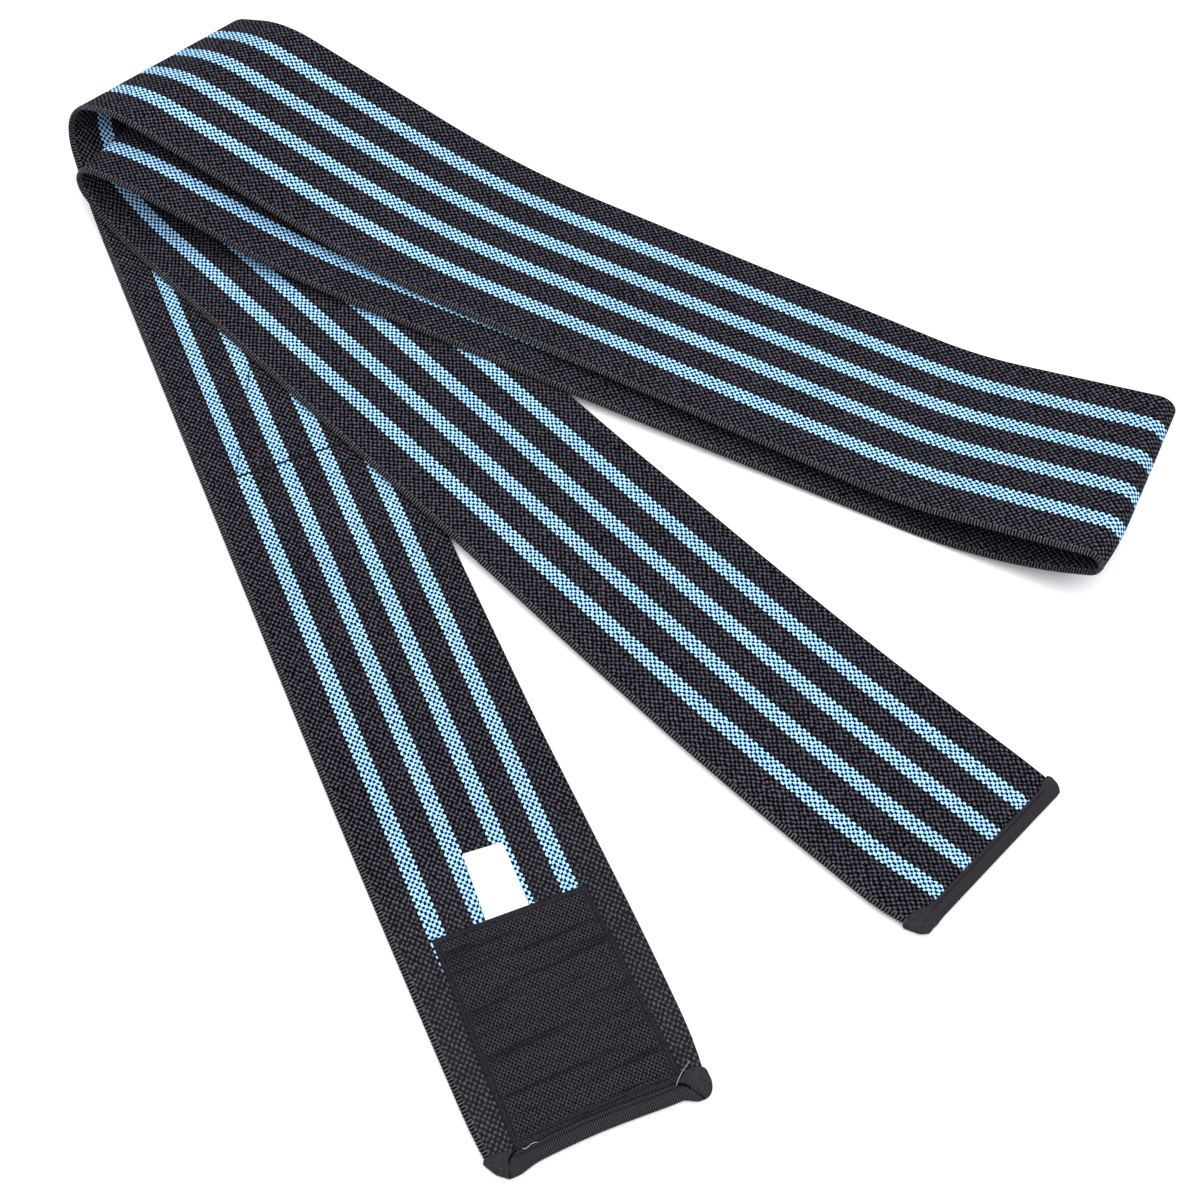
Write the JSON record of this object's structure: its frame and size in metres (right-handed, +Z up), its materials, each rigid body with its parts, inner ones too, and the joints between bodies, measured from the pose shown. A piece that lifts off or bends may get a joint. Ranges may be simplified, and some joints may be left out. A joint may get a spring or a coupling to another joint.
{
  "type": "knee wrap",
  "caption": "Long striped elastic knee wrap laid in loose folds, with a hook panel, a loop panel, taped ends and a blank label.",
  "frame": {"origin": "middle of the footprint, at the table surface that the wrap lies on", "axes": "+Z up from the table, +Y away from the fastener end towards the back loop, +X to the lifted right fold"},
  "size_m": [0.4498, 0.4876, 0.0437],
  "materials": {
    "webbing": "coarse woven elastic, charcoal with four light blue stripes",
    "hook_tape": "fine hooked tape, near black",
    "loop_tape": "soft looped pile, near black",
    "binding_tape": "ribbed woven tape, charcoal",
    "label": "smooth white label ribbon, blank"
  },
  "bodies": {
    "root": {"band": "webbing", "hook_panel": "hook_tape", "loop_panel": "loop_tape", "end_binding_fastener": "binding_tape", "end_binding_plain": "binding_tape", "care_label": "label"}
  },
  "joints": []
}
